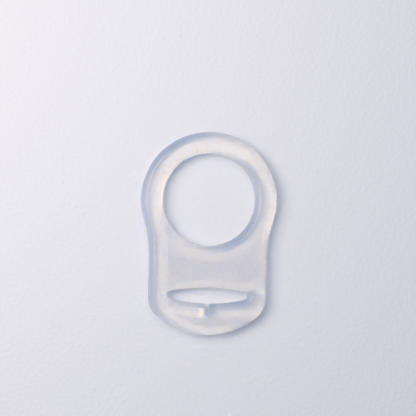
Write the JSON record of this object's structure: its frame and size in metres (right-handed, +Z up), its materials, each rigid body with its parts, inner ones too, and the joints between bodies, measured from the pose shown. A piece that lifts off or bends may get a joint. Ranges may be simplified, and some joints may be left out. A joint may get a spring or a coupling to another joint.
{
  "type": "soother adapter ring",
  "caption": "Flat translucent silicone ring with a round strap hole in its head and a notched slot in its foot that stretches over a soother's button.",
  "frame": {"origin": "centre of the footprint, on the underside", "axes": "+X across the ring, +Y towards the round head, +Z up through the thickness"},
  "size_m": [0.03, 0.045, 0.0035],
  "materials": {
    "silicone": "milky clear moulded silicone, smooth and glossy"
  },
  "bodies": {
    "root": {"silicone_ring": "silicone"}
  },
  "joints": []
}
